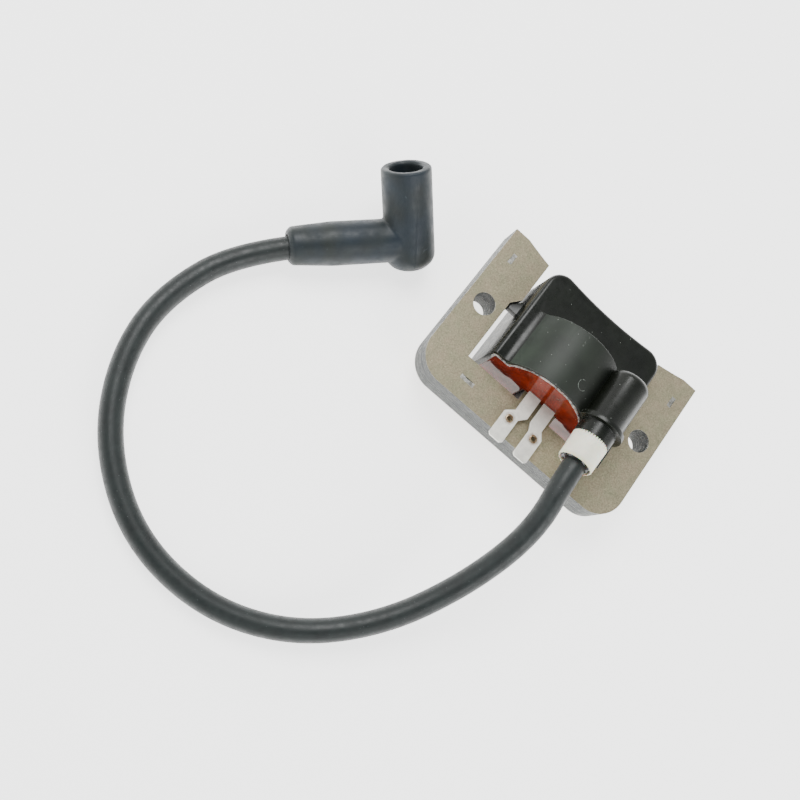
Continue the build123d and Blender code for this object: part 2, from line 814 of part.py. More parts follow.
spike_start = arm_start_plane.offset(boot_lead_insertion - spike_length)
with BuildPart() as contact_spike:
    with BuildSketch(spike_start):
        Circle(spike_radius)
    extrude(amount=boot_arm_length - boot_lead_insertion + spike_length - clip_radius)
    with BuildSketch(arm_start_plane.offset(boot_lead_insertion + spike_disc_gap)):
        Circle(boot_passage_radius)
    extrude(amount=spike_disc_thickness)
    add(plug_terminal_clip.part, mode=Mode.SUBTRACT)
contact_spike.part.label = "contact_spike"
export_step(contact_spike.part, "parts/contact_spike.step")

print("elbow:", elbow, "arm axis:", arm_axis, "mouth axis:", mouth_axis)
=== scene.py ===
"""Small-engine ignition coil: looks for the laminated core, potted coil, lead and plug boot."""
import json
import math
import random

import bmesh
import bpy
from bpy.props import FloatProperty, FloatVectorProperty, IntProperty, PointerProperty
from mathutils import Euler, Matrix, Vector, kdtree, noise


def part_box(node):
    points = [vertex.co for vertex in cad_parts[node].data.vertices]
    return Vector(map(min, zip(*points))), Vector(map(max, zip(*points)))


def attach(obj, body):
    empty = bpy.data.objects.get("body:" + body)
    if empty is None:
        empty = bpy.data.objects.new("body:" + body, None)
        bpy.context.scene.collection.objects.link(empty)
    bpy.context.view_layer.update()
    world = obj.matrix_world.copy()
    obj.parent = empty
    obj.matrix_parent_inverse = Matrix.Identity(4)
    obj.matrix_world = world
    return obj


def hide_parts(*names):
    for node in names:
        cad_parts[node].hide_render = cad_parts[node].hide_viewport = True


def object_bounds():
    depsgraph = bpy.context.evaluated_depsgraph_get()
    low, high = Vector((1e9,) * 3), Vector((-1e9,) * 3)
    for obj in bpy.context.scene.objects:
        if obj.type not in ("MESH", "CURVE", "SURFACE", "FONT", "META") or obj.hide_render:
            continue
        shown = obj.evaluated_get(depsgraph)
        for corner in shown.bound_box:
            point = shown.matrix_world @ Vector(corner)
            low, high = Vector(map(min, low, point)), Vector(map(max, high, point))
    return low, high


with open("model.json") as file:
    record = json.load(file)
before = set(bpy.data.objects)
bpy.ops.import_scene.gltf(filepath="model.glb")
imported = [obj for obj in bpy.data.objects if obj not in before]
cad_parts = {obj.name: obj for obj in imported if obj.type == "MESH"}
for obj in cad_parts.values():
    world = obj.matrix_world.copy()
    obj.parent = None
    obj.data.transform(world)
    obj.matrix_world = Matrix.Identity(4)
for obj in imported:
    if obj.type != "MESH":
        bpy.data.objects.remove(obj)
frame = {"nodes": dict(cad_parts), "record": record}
cad_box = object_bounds()

bl_info = {
    "name": "Ignition coil",
    "version": (1, 0, 0),
    "blender": (4, 5, 0),
    "location": "3D View > Sidebar > Ignition coil",
    "description": "Finishes a small-engine ignition coil: core, potted housing, terminals, lead and boot",
    "category": "Object",
}

MM = 0.001

# ---------------------------------------------------------------- places taken from the frame
mounts = {mount["name"]: mount for mount in frame["record"]["mounts"]}
swivel = frame["record"]["behaviour"]["joints"][0]
elbow = Vector(swivel["pos_m"])
arm_axis = Vector(swivel["axis"]).normalized()
mouth_axis = Vector(mounts["plug_socket"]["axis"]).normalized()
core_low, core_high = [Vector(corner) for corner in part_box("core_laminations")]
housing_low = Vector(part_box("coil_housing")[0])
resin_low, resin_high = [Vector(corner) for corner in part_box("potting_resin")]
collar_low, collar_high = [Vector(corner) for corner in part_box("lead_collar")]
collar_radius = (collar_high.x - collar_low.x) / 2
tower_axis = Vector(((collar_low.x + collar_high.x) / 2, 0, (collar_low.z + collar_high.z) / 2))
sheet_count = 15
sheet_thickness = (core_high.z - core_low.z) / sheet_count
# The round cover over the electronics, which stands on the housing's top.
bulge_axis = Vector((-2.0 * MM, 0, core_high.z + 1.3 * MM))
bulge_radius = 15.3 * MM
bulge_end = 7.1 * MM

# The lead's route: straight out of the collar, down over the yoke and round on the floor.
LEAD_ROUTE = [
    (0.0146, -0.012, 0.0223),
    (0.0146, -0.029, 0.0223),
    (0.0178, -0.046, 0.0173),
    (0.0134, -0.067, 0.0085),
    (0.0027, -0.089, 0.0012),
    (-0.015, -0.1063, -0.003),
    (-0.0383, -0.1148, -0.00375),
    (-0.064, -0.1124, -0.00375),
    (-0.0851, -0.0984, -0.00375),
    (-0.0974, -0.079, -0.00375),
    (-0.1012, -0.0578, -0.00375),
    (-0.0932, -0.0314, -0.0022),
    (-0.074, -0.0116, -0.00015),
]
LEAD_DIAMETER = 0.0068

# The camera looks down over the lead's loop; its turn is in degrees about X, Y and Z.
CAMERA_PLACE = (-0.067497, -0.133067, 0.274779)
CAMERA_TURN = (10.685, -17.733, 37.942)
CAMERA_NEAR = 0.01
LIGHT_TARGET = Vector((-0.02, -0.03, 0.0))
FLOOR_HALF = 3.0


def linear(code):
    """sRGB hex colour as linear red, green, blue and alpha."""
    channels = [int(code[start : start + 2], 16) / 255 for start in (0, 2, 4)]
    return tuple(c / 12.92 if c <= 0.04045 else ((c + 0.055) / 1.055) ** 2.4 for c in channels) + (1.0,)


def shade(colour, factor):
    """A linear colour made lighter or darker, its alpha kept."""
    return tuple(min(1.0, channel * factor) for channel in colour[:3]) + (1.0,)


def per_mm(size):
    """Texture scale that gives features of that size in millimetres."""
    return 1000.0 / size


# ---------------------------------------------------------------- settings
def size_property(name, description, default):
    """A length in metres that a user may change."""
    return FloatProperty(
        name=name, description=description, default=default, min=0.0, unit="LENGTH", precision=5
    )


def power_property(name, description, default):
    """A plain strength of a light or a glow."""
    return FloatProperty(name=name, description=description, default=default, min=0.0)


def colour_property(name, description, code):
    """A colour that a user may change, given as sRGB hex."""
    return FloatVectorProperty(
        name=name, description=description, default=linear(code), size=4, min=0.0, max=1.0, subtype="COLOR"
    )


class CoilSizes(bpy.types.PropertyGroup):
    """Small sizes of the finish."""

    sheet_edge: size_property("Sheet edge", "Rounding of each core sheet's edges", 0.05 * MM)
    sheet_shift: size_property("Sheet shift", "How far the core's sheets lie out of line", 0.02 * MM)
    moulded_edge: size_property("Moulded edge", "Rounding of the housing's sharp edges", 0.18 * MM)
    tab_edge: size_property("Terminal edge", "Rounding of the spade terminals' edges", 0.12 * MM)
    resin_grid: size_property("Resin grid", "Spacing of the resin face's mesh", 0.55 * MM)
    resin_sink: size_property("Resin sink", "How far the cured resin sinks between its walls", 0.24 * MM)
    boot_voxel: size_property("Boot voxel", "Voxel size of the boot's moulded surface", 0.3 * MM)
    parting_step: size_property("Parting step", "Mismatch of the boot's two mould halves", 0.1 * MM)
    collar_tooth: size_property("Collar tooth", "Length of the serrations on the lead collar", 1.3 * MM)
    collar_teeth: IntProperty(
        name="Collar teeth", description="Serrations round the lead collar", default=40, min=8
    )


class CoilColours(bpy.types.PropertyGroup):
    """Base colours of the materials."""

    core: colour_property("Core", "Varnished electrical steel", "A0977D")
    core_side: colour_property("Core side", "Cut sides of the core", "2C3233")
    nylon: colour_property("Housing", "Black moulded nylon", "0E110B")
    resin: colour_property("Resin", "Cast epoxy", "7C2511")
    tin: colour_property("Terminals", "Tinned steel", "F8F6EC")
    collar: colour_property("Collar", "Natural nylon", "FBF7E2")
    rubber: colour_property("Boot", "Moulded rubber", "151C20")
    lead: colour_property("Lead", "Rubber lead", "191F1E")


class CoilStage(bpy.types.PropertyGroup):
    """Floor, light and camera."""

    floor: colour_property("Floor", "Plain floor", "F6F6F4")
    key_power: power_property("Key light", "Power of the large soft light", 7.5)
    fill_power: power_property("Fill light", "Power of the fill light", 3.0)
    sky: power_property("Surroundings", "Brightness of the white surroundings", 1.4)
    zenith: power_property("Overhead", "Brightness overhead against the sides", 0.3)
    glow: power_property("Floor glow", "Light given off by the pale floor", 2.0)
    lens: FloatProperty(name="Lens", description="Focal length", default=45.92, min=1, unit="CAMERA")


# ---------------------------------------------------------------- node helpers
def add(tree, kind, inputs=None, stops=(), **settings):
    """Adds a shader node, sets its settings, and fills or links its inputs."""
    made = tree.nodes.new("ShaderNode" + kind)
    for name, value in settings.items():
        setattr(made, name, value)
    for place, value in (inputs or {}).items():
        if isinstance(value, bpy.types.NodeSocket):
            tree.links.new(value, made.inputs[place])
        else:
            made.inputs[place].default_value = value
    for index, (position, colour) in enumerate(stops):
        ramp = made.color_ramp.elements
        stop = ramp[index] if index < len(ramp) else ramp.new(position)
        stop.position = position
        stop.color = colour
    return made


def begin(name, **sockets):
    """A new material: its tree, its shader with fixed values set, and the object coordinates."""
    made = bpy.data.materials.new(name)
    made.use_nodes = True
    tree = made.node_tree
    shader = tree.nodes["Principled BSDF"]
    for place, value in sockets.items():
        shader.inputs[place.replace("_", " ")].default_value = value
    coords = add(tree, "TexCoord")
    return made, tree, shader, coords


def mixed(tree, factor, first, second, blend="MIX"):
    """Colour output of two colours mixed by a factor."""
    return add(
        tree, "Mix", {0: factor, 6: first, 7: second}, data_type="RGBA", blend_type=blend
    ).outputs[2]


def noise_ramp(tree, coords, size, low, high, detail=3.0, seed=0.0, start=0.35, end=0.65):
    """Noise of a size in millimetres, spread between two colours."""
    grain = add(
        tree,
        "TexNoise",
        {"Vector": coords, "Scale": per_mm(size), "Detail": detail, "Roughness": 0.6, "W": seed},
        noise_dimensions="4D",
    )
    return add(tree, "ValToRGB", {0: grain.outputs[0]}, stops=[(start, low), (end, high)]).outputs[0]


def specks(tree, coords, spacing, solid, gone):
    """White round specks a spacing in millimetres apart, fading out between two shares of it."""
    cells = add(tree, "TexVoronoi", {"Vector": coords, "Scale": per_mm(spacing), "Randomness": 1.0})
    stops = [(solid, WHITE), (gone, BLACK)]
    return add(tree, "ValToRGB", {0: cells.outputs["Distance"]}, stops=stops).outputs[0]


BLACK = (0.0, 0.0, 0.0, 1.0)
WHITE = (1.0, 1.0, 1.0, 1.0)


def grey(value):
    """A neutral linear colour."""
    return (value, value, value, 1.0)


# ---------------------------------------------------------------- materials
def varnished_steel(colours):
    """Electrical steel, rolled and stamped under clear varnish: a dull warm grey with a fine speckle."""
    made, tree, shader, coords = begin("varnished_steel", IOR=1.45)
    place = coords.outputs["Object"]
    base = tuple(colours.core)
    speckle = noise_ramp(tree, place, 0.42, shade(base, 0.6), shade(base, 1.3))
    warm = noise_ramp(tree, place, 5.0, linear("74785C"), linear("8E7F6A"), detail=2.0, seed=3.0)
    face = mixed(tree, 0.45, speckle, warm)
    glints = noise_ramp(tree, place, 0.3, BLACK, WHITE, detail=1.0, seed=8.0, start=0.68, end=0.76)
    face = mixed(tree, glints, face, shade(base, 1.7))
    # The cut sides are darker and cooler in colour, with fine marks of the punch.
    side = tuple(colours.core_side)
    side_grain = noise_ramp(tree, place, 1.6, shade(side, 0.8), side)
    upright = add(tree, "SeparateXYZ", {0: coords.outputs["Normal"]}).outputs[2]
    upright = add(tree, "Math", {0: upright}, operation="ABSOLUTE").outputs[0]
    flat = add(tree, "ValToRGB", {0: upright}, stops=[(0.45, BLACK), (0.75, WHITE)]).outputs[0]
    tree.links.new(mixed(tree, flat, side_grain, face), shader.inputs["Base Color"])
    # The rough cut sides shine less like metal than the faces.
    metal = add(tree, "MapRange", {0: flat, 3: 0.05, 4: 0.45}).outputs[0]
    tree.links.new(metal, shader.inputs["Metallic"])
    rough = noise_ramp(tree, place, 2.5, grey(0.42), grey(0.6), seed=5.0)
    tree.links.new(rough, shader.inputs["Roughness"])
    fine = add(tree, "TexNoise", {"Vector": place, "Scale": per_mm(0.3), "Detail": 3.0})
    bump = add(tree, "Bump", {"Strength": 0.35, "Distance": 0.02 * MM, "Height": fine.outputs[0]})
    tree.links.new(bump.outputs[0], shader.inputs["Normal"])
    return made


def bare_steel_edge():
    """Sheet steel where the varnish is rubbed off an edge or a clinch: brighter and smoother."""
    made, tree, shader, coords = begin("bare_steel_edge", Metallic=0.9)
    tone = noise_ramp(tree, coords.outputs["Object"], 0.8, linear("8C8A80"), linear("C9C8C2"))
    tree.links.new(tone, shader.inputs["Base Color"])
    rough = noise_ramp(tree, coords.outputs["Object"], 0.5, grey(0.3), grey(0.5), seed=2.0)
    tree.links.new(rough, shader.inputs["Roughness"])
    return made


def moulded_nylon(colours):
    """Black glass-filled nylon from a polished mould: glossy green-black with dust and light scuffs, and a
    painted highlight that lightens the round cover towards its left.
    """
    made, tree, shader, coords = begin("moulded_nylon", IOR=1.42)
    place = coords.outputs["Object"]
    base = tuple(colours.nylon)
    tone = noise_ramp(tree, place, 6.0, shade(base, 0.75), shade(base, 1.35), detail=2.0)
    # The round cover over the electronics came off a duller part of the mould; its colour also carries a
    # painted highlight, a lighter green-grey on its left side that fades to the right.
    centred = add(tree, "Mapping", {"Vector": place, "Location": -bulge_axis})
    spot = add(tree, "SeparateXYZ", {0: centred.outputs[0]})
    across = add(tree, "CombineXYZ", {0: spot.outputs[0], 2: spot.outputs[2]})
    out = add(tree, "VectorMath", {0: across.outputs[0]}, operation="LENGTH").outputs["Value"]
    near = add(tree, "Math", {0: out, 1: bulge_radius, 2: 0.35 * MM}, operation="COMPARE").outputs[0]
    before = add(tree, "Math", {0: spot.outputs[1], 1: bulge_end}, operation="LESS_THAN").outputs[0]
    on_bulge = add(tree, "Math", {0: near, 1: before}, operation="MULTIPLY").outputs[0]
    # The lighter green-grey used for the painted highlight on the cover.
    satin = noise_ramp(tree, place, 9.0, linear("1C241B"), linear("293328"), detail=2.0, seed=4.0)
    # Painted highlight: its share falls from 0.9 at the cover's left to 0.1 at its right, so the side where
    # the light falls is painted lighter.
    side = add(tree, "MapRange", {0: spot.outputs[0], 1: -13 * MM, 2: 8 * MM, 3: 0.9, 4: 0.1}).outputs[0]
    side = add(tree, "Math", {0: side, 1: on_bulge}, operation="MULTIPLY").outputs[0]
    tone = mixed(tree, side, tone, satin)
    # Dust: pale specks about a tenth of a millimetre wide, a millimetre or two apart.
    dust = specks(tree, place, 1.7, 0.05, 0.085)
    sparse = noise_ramp(tree, place, 3.0, BLACK, WHITE, detail=1.0, seed=6.0, start=0.5, end=0.6)
    dust = add(tree, "Math", {0: dust, 1: sparse}, operation="MULTIPLY").outputs[0]
    # A broken line of faint scuffs runs along the top of the cover.
    line = add(tree, "Math", {0: spot.outputs[0], 1: -2.0 * MM, 2: 0.25 * MM}, operation="COMPARE").outputs[0]
    rub = noise_ramp(tree, place, 1.4, BLACK, grey(0.55), detail=5.0, seed=9.0, start=0.54, end=0.7)
    scuff = add(tree, "Math", {0: line, 1: rub}, operation="MULTIPLY").outputs[0]
    scuff = add(tree, "Math", {0: scuff, 1: on_bulge}, operation="MULTIPLY").outputs[0]
    pale = add(tree, "Math", {0: dust, 1: scuff}, operation="MAXIMUM").outputs[0]
    pale = add(tree, "Math", {0: pale, 1: 0.6}, operation="MULTIPLY").outputs[0]
    tone = mixed(tree, pale, tone, linear("A9AFA6"))
    tree.links.new(tone, shader.inputs["Base Color"])
    gloss = noise_ramp(tree, place, 2.2, grey(0.24), grey(0.34), seed=1.0)
    rough = mixed(tree, on_bulge, gloss, grey(0.5))
    rough = mixed(tree, pale, rough, grey(0.7))
    tree.links.new(rough, shader.inputs["Roughness"])
    skin = add(tree, "TexNoise", {"Vector": place, "Scale": per_mm(1.1), "Detail": 2.0})
    bump = add(tree, "Bump", {"Strength": 0.12, "Distance": 0.03 * MM, "Height": skin.outputs[0]})
    tree.links.new(bump.outputs[0], shader.inputs["Normal"])
    return made


def rubbed_nylon():
    """The same nylon where an edge has been rubbed pale grey-green."""
    made, tree, shader, coords = begin("rubbed_nylon", IOR=1.53)
    place = coords.outputs["Object"]
    tone = noise_ramp(tree, place, 0.9, linear("232823"), linear("7C857C"), start=0.4, end=0.7)
    tree.links.new(tone, shader.inputs["Base Color"])
    rough = noise_ramp(tree, place, 0.7, grey(0.35), grey(0.6), seed=2.0)
    tree.links.new(rough, shader.inputs["Roughness"])
    return made


def cast_epoxy(colours):
    """Red-brown epoxy poured into the housing: a wet-looking skin, a little cloudy, with pinhead bubbles."""
    made, tree, shader, coords = begin("cast_epoxy", IOR=1.42)
    place = coords.outputs["Object"]
    base = tuple(colours.resin)
    cloud = noise_ramp(tree, place, 5.0, shade(base, 0.6), shade(base, 1.15), detail=2.0)
    bubbles = specks(tree, place, 1.5, 0.06, 0.1)
    sparse = noise_ramp(tree, place, 2.6, BLACK, WHITE, detail=1.0, seed=5.0, start=0.5, end=0.58)
    bubbles = add(tree, "Math", {0: bubbles, 1: sparse}, operation="MULTIPLY").outputs[0]
    tree.links.new(mixed(tree, bubbles, cloud, linear("D98B62")), shader.inputs["Base Color"])
    gloss = noise_ramp(tree, place, 3.0, grey(0.04), grey(0.1), seed=2.0)
    tree.links.new(gloss, shader.inputs["Roughness"])
    return made


def resin_flash():
    """The thin lip of clear resin and moulding flash left along the housing's rim: milky grey."""
    made, tree, shader, coords = begin("resin_flash", IOR=1.5, Subsurface_Weight=0.3, Subsurface_Scale=0.001)
    place = coords.outputs["Object"]
    tone = noise_ramp(tree, place, 1.1, linear("4A4A48"), linear("B7AFA8"), start=0.4, end=0.62)
    tree.links.new(tone, shader.inputs["Base Color"])
    rough = noise_ramp(tree, place, 0.8, grey(0.18), grey(0.4), seed=2.0)
    tree.links.new(rough, shader.inputs["Roughness"])
    return made


def tinned_steel(colours, dimples):
    """Sheet steel under a dull tin plate: off-white and soft, stained brown round each dimple."""
    made, tree, shader, coords = begin("tinned_steel", Metallic=0.2)
    place = coords.outputs["Object"]
    base = tuple(colours.tin)
    tone = noise_ramp(tree, place, 1.8, shade(base, 0.84), base)
    stain = None
    for dimple in dimples:
        out = add(tree, "VectorMath", {0: place, 1: dimple}, operation="DISTANCE").outputs["Value"]
        ring = add(tree, "MapRange", {0: out, 1: 1.0 * MM, 2: 2.1 * MM, 3: 0.95, 4: 0.0}).outputs[0]
        if stain is None:
            stain = ring
        else:
            stain = add(tree, "Math", {0: stain, 1: ring}, operation="MAXIMUM").outputs[0]
    rust = noise_ramp(tree, place, 0.8, BLACK, WHITE, seed=4.0, start=0.32, end=0.6)
    stain = add(tree, "Math", {0: stain, 1: rust}, operation="MULTIPLY").outputs[0]
    tree.links.new(mixed(tree, stain, tone, linear("6E4A26")), shader.inputs["Base Color"])
    rough = noise_ramp(tree, place, 0.9, grey(0.34), grey(0.52), seed=2.0)
    tree.links.new(rough, shader.inputs["Roughness"])
    rolled = add(tree, "Mapping", {"Vector": place, "Scale": (1.0, 0.12, 1.0)})
    lines = add(tree, "TexNoise", {"Vector": rolled.outputs[0], "Scale": per_mm(0.25), "Detail": 2.0})
    bump = add(tree, "Bump", {"Strength": 0.25, "Distance": 0.01 * MM, "Height": lines.outputs[0]})
    tree.links.new(bump.outputs[0], shader.inputs["Normal"])
    return made


def rusted_rim():
    """Punched steel edge with a brown bloom of rust and one clean glint."""
    made, tree, shader, coords = begin("rusted_rim", Metallic=0.7)
    tone = noise_ramp(tree, coords.outputs["Object"], 0.5, linear("5A3A1C"), linear("B9A98C"))
    tree.links.new(tone, shader.inputs["Base Color"])
    shader.inputs["Roughness"].default_value = 0.4
    return made


def natural_nylon(colours):
    """Unfilled nylon as moulded: cream, faintly translucent, with a waxy gloss."""
    made, tree, shader, coords = begin(
        "natural_nylon", IOR=1.53, Subsurface_Weight=0.25, Subsurface_Scale=0.0008
    )
    place = coords.outputs["Object"]
    base = tuple(colours.collar)
    tone = noise_ramp(tree, place, 2.6, shade(base, 0.9), base, detail=2.0)
    along = add(tree, "SeparateXYZ", {0: place}).outputs[1]
    tinted = collar_low.y + 1.2 * MM
    mouth_end = add(tree, "MapRange", {0: along, 1: collar_low.y, 2: tinted, 3: 0.55, 4: 0.0})
    tone = mixed(tree, mouth_end.outputs[0], tone, linear("C9CF9A"))
    tree.links.new(tone, shader.inputs["Base Color"])
    rough = noise_ramp(tree, place, 1.2, grey(0.38), grey(0.5), seed=2.0)
    tree.links.new(rough, shader.inputs["Roughness"])
    return made


def black_sealant():
    """Two-part sealant run into the collar: black, wet and lumpy."""
    made, tree, shader, coords = begin("black_sealant", IOR=1.5, Coat_Weight=0.5, Coat_Roughness=0.03)
    place = coords.outputs["Object"]
    tone = noise_ramp(tree, place, 2.0, linear("08090A"), linear("161A1C"))
    tree.links.new(tone, shader.inputs["Base Color"])
    shader.inputs["Roughness"].default_value = 0.08
    lumps = add(tree, "TexNoise", {"Vector": place, "Scale": per_mm(2.2), "Detail": 1.0})
    bump = add(tree, "Bump", {"Strength": 0.4, "Distance": 0.15 * MM, "Height": lumps.outputs[0]})
    tree.links.new(bump.outputs[0], shader.inputs["Normal"])
    return made


def moulded_rubber(colours):
    """Synthetic rubber from a steel mould: blue-grey black with a soft bloom and faint scuffs."""
    made, tree, shader, coords = begin("moulded_rubber", IOR=1.42, Sheen_Weight=0.05, Sheen_Roughness=0.5)
    place = coords.outputs["Object"]
    base = tuple(colours.rubber)
    bloom = noise_ramp(tree, place, 5.5, shade(base, 0.7), shade(base, 1.5), detail=3.0)
    tint = noise_ramp(tree, place, 9.0, linear("1E2C38"), linear("24291F"), detail=1.0, seed=4.0)
    tone = mixed(tree, 0.4, bloom, tint)
    drawn = add(tree, "Mapping", {"Vector": place, "Scale": (1.0, 0.25, 1.0)})
    scuffs = noise_ramp(tree, drawn.outputs[0], 1.1, BLACK, WHITE, detail=4.0, seed=7.0, start=0.66, end=0.78)
    faint = add(tree, "Math", {0: scuffs, 1: 0.35}, operation="MULTIPLY").outputs[0]
    tree.links.new(mixed(tree, faint, tone, linear("7C8688")), shader.inputs["Base Color"])
    rough = noise_ramp(tree, place, 3.5, grey(0.4), grey(0.6), seed=1.0)
    tree.links.new(rough, shader.inputs["Roughness"])
    skin = add(tree, "TexNoise", {"Vector": place, "Scale": per_mm(0.45), "Detail": 3.0})
    bump = add(tree, "Bump", {"Strength": 0.25, "Distance": 0.03 * MM, "Height": skin.outputs[0]})
    tree.links.new(bump.outputs[0], shader.inputs["Normal"])
    return made


def lead_rubber(colours):
    """Extruded rubber sleeve: charcoal, satin, with a fine matt grain and specks of dust."""
    made, tree, shader, coords = begin("lead_rubber", IOR=1.45, Sheen_Weight=0.05, Sheen_Roughness=0.5)
    place = coords.outputs["Object"]
    base = tuple(colours.lead)
    tone = noise_ramp(tree, place, 4.0, shade(base, 0.75), shade(base, 1.35), detail=4.0)
    dust = specks(tree, place, 1.3, 0.05, 0.09)
    faint = add(tree, "Math", {0: dust, 1: 0.3}, operation="MULTIPLY").outputs[0]
    tree.links.new(mixed(tree, faint, tone, linear("8A8E90")), shader.inputs["Base Color"])
    rough = noise_ramp(tree, place, 2.0, grey(0.38), grey(0.55), seed=1.0)
    tree.links.new(rough, shader.inputs["Roughness"])
    skin = add(tree, "TexNoise", {"Vector": place, "Scale": per_mm(0.4), "Detail": 3.0})
    bump = add(tree, "Bump", {"Strength": 0.3, "Distance": 0.03 * MM, "Height": skin.outputs[0]})
    tree.links.new(bump.outputs[0], shader.inputs["Normal"])
    return made


def enamelled_wire():
    """Copper wire under clear enamel, wound side by side: bands a quarter of a millimetre apart."""
    made, tree, shader, coords = begin("enamelled_wire", Metallic=1.0, Roughness=0.28, Coat_Weight=0.4)
    place = coords.outputs["Object"]
    winding = {"Vector": place, "Scale": per_mm(1.6), "Distortion": 0.4}
    turns = add(tree, "TexWave", winding, bands_direction="Y")
    copper = [(0.0, linear("7A3317")), (0.6, linear("D0733A"))]
    tone = add(tree, "ValToRGB", {0: turns.outputs[0]}, stops=copper)
    tree.links.new(tone.outputs[0], shader.inputs["Base Color"])
    bump = add(tree, "Bump", {"Strength": 0.6, "Distance": 0.06 * MM, "Height": turns.outputs[0]})
    tree.links.new(bump.outputs[0], shader.inputs["Normal"])
    return made


def plain_moulding(name, low, high, rough, size=2.0, metallic=0.0):
    """A small moulded, rolled or drawn part, slightly uneven in colour."""
    made, tree, shader, coords = begin(name, Metallic=metallic)
    tone = noise_ramp(tree, coords.outputs["Object"], size, linear(low), linear(high))
    tree.links.new(tone, shader.inputs["Base Color"])
    gloss = noise_ramp(tree, coords.outputs["Object"], size, grey(rough * 0.8), grey(rough * 1.2), seed=3.0)
    tree.links.new(gloss, shader.inputs["Roughness"])
    return made


# ---------------------------------------------------------------- mesh helpers
def cad_copy(node):
    """A CAD node's shape with its triangles merged into whole flat faces."""
    shape = bmesh.new()
    shape.from_mesh(frame["nodes"][node].data)
    merge_flat(shape)
    return shape


def merge_flat(shape):
    """Merges loose triangles, and joins those that lie in one plane."""
    bmesh.ops.remove_doubles(shape, verts=shape.verts, dist=0.001 * MM)
    bmesh.ops.dissolve_limit(
        shape,
        angle_limit=math.radians(0.5),
        verts=shape.verts,
        edges=shape.edges,
        use_dissolve_boundaries=False,
    )


def smooth_once(shape):
    """Moves every vertex half way to the middle of its neighbours."""
    bmesh.ops.smooth_vert(
        shape, verts=shape.verts, factor=0.5, use_axis_x=True, use_axis_y=True, use_axis_z=True
    )


def soften(shape, width, over=35.0, segments=2):
    """Rounds every edge sharper than an angle in degrees, and returns the new faces."""
    sharp = [
        edge
        for edge in shape.edges
        if len(edge.link_faces) == 2 and edge.calc_face_angle() > math.radians(over)
    ]
    made = bmesh.ops.bevel(
        shape,
        geom=sharp,
        offset=width,
        offset_type="OFFSET",
        affect="EDGES",
        segments=segments,
        profile=0.5,
        clamp_overlap=True,
        material=-1,
    )
    return made["faces"]


def ring_profile(shape, points, centre, axis, steps):
    """Spins a closed profile, given as (along, out) pairs, all the way round an axis."""
    axis = Vector(axis).normalized()
    outwards = axis.orthogonal().normalized()
    corners = [shape.verts.new(Vector(centre) + axis * along + outwards * out) for along, out in points]
    edges = [shape.edges.new(pair) for pair in zip(corners, corners[1:] + corners[:1])]
    bmesh.ops.spin(
        shape,
        geom=corners + edges,
        cent=centre,
        axis=axis,
        angle=math.tau,
        steps=steps,
        use_merge=True,
        use_duplicate=False,
    )
    bmesh.ops.remove_doubles(shape, verts=shape.verts, dist=0.001 * MM)
    bmesh.ops.recalc_face_normals(shape, faces=shape.faces)


def place_piece(name, shape, materials, body, stands_for=(), smooth=35.0):
    """Makes the object, gives it its materials, ties it to its body, and hides the CAD nodes it stands for.
    """
    mesh = bpy.data.meshes.new(name)
    shape.to_mesh(mesh)
    shape.free()
    for material in materials:
        mesh.materials.append(material)
    mesh.shade_smooth()
    mesh.set_sharp_from_angle(angle=math.radians(smooth))
    made = bpy.data.objects.new(name, mesh)
    bpy.context.scene.collection.objects.link(made)
    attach(made, body)
    if stands_for:
        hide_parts(*stands_for)
    return made


def dress(node, material):
    """Gives a CAD node a better material in place of its plain one."""
    slots = frame["nodes"][node].material_slots
    for slot in slots:
        slot.material = material


def weighted(made):
    """Keeps broad faces flat in the light beside rounded edges."""
    modifier = made.modifiers.new("flat_faces", "WEIGHTED_NORMAL")
    modifier.keep_sharp = True


# ---------------------------------------------------------------- operators
class COIL_OT_core(bpy.types.Operator):
    """Stacks the core from stamped sheets with rounded, slightly uneven edges"""

    bl_idname = "coil.core"
    bl_label = "Laminated core"

    def execute(self, context):
        sizes = context.scene.coil_sizes
        draws = random.Random(11)
        source = frame["nodes"]["core_laminations"].data
        stack = bmesh.new()
        for level in range(sheet_count):
            sheet = bmesh.new()
            sheet.from_mesh(source)
            others = [face for face in sheet.faces if self.level_of(face) != level]
            bmesh.ops.delete(sheet, geom=others, context="FACES")
            merge_flat(sheet)
            for face in soften(sheet, sizes.sheet_edge, over=50.0):
                face.material_index = 1
            if level < sheet_count - 1:
                shift = Vector((draws.uniform(-1, 1), draws.uniform(-1, 1), 0)) * sizes.sheet_shift
                bmesh.ops.translate(sheet, verts=sheet.verts, vec=shift)
            else:
                self.brighten_clinches(sheet)
            single = bpy.data.meshes.new("sheet")
            sheet.to_mesh(single)
            sheet.free()
            stack.from_mesh(single)
            bpy.data.meshes.remove(single)
        colours = context.scene.coil_colours
        made = place_piece(
            "core_stack",
            stack,
            [varnished_steel(colours), bare_steel_edge()],
            "root",
            ["core_laminations"],
        )
        weighted(made)
        return {"FINISHED"}

    @staticmethod
    def level_of(face):
        """Which sheet of the stack a face belongs to."""
        height = face.calc_center_median().z - face.normal.z * 0.25 * sheet_thickness - core_low.z
        return int(height / sheet_thickness)

    @staticmethod
    def brighten_clinches(sheet):
        """The sloping floors of the clinch marks are bare metal."""
        for face in sheet.faces:
            middle = face.calc_center_median().z
            if core_high.z - 0.45 * MM < middle < core_high.z - 0.1 * MM and abs(face.normal.z) > 0.3:
                face.material_index = 1


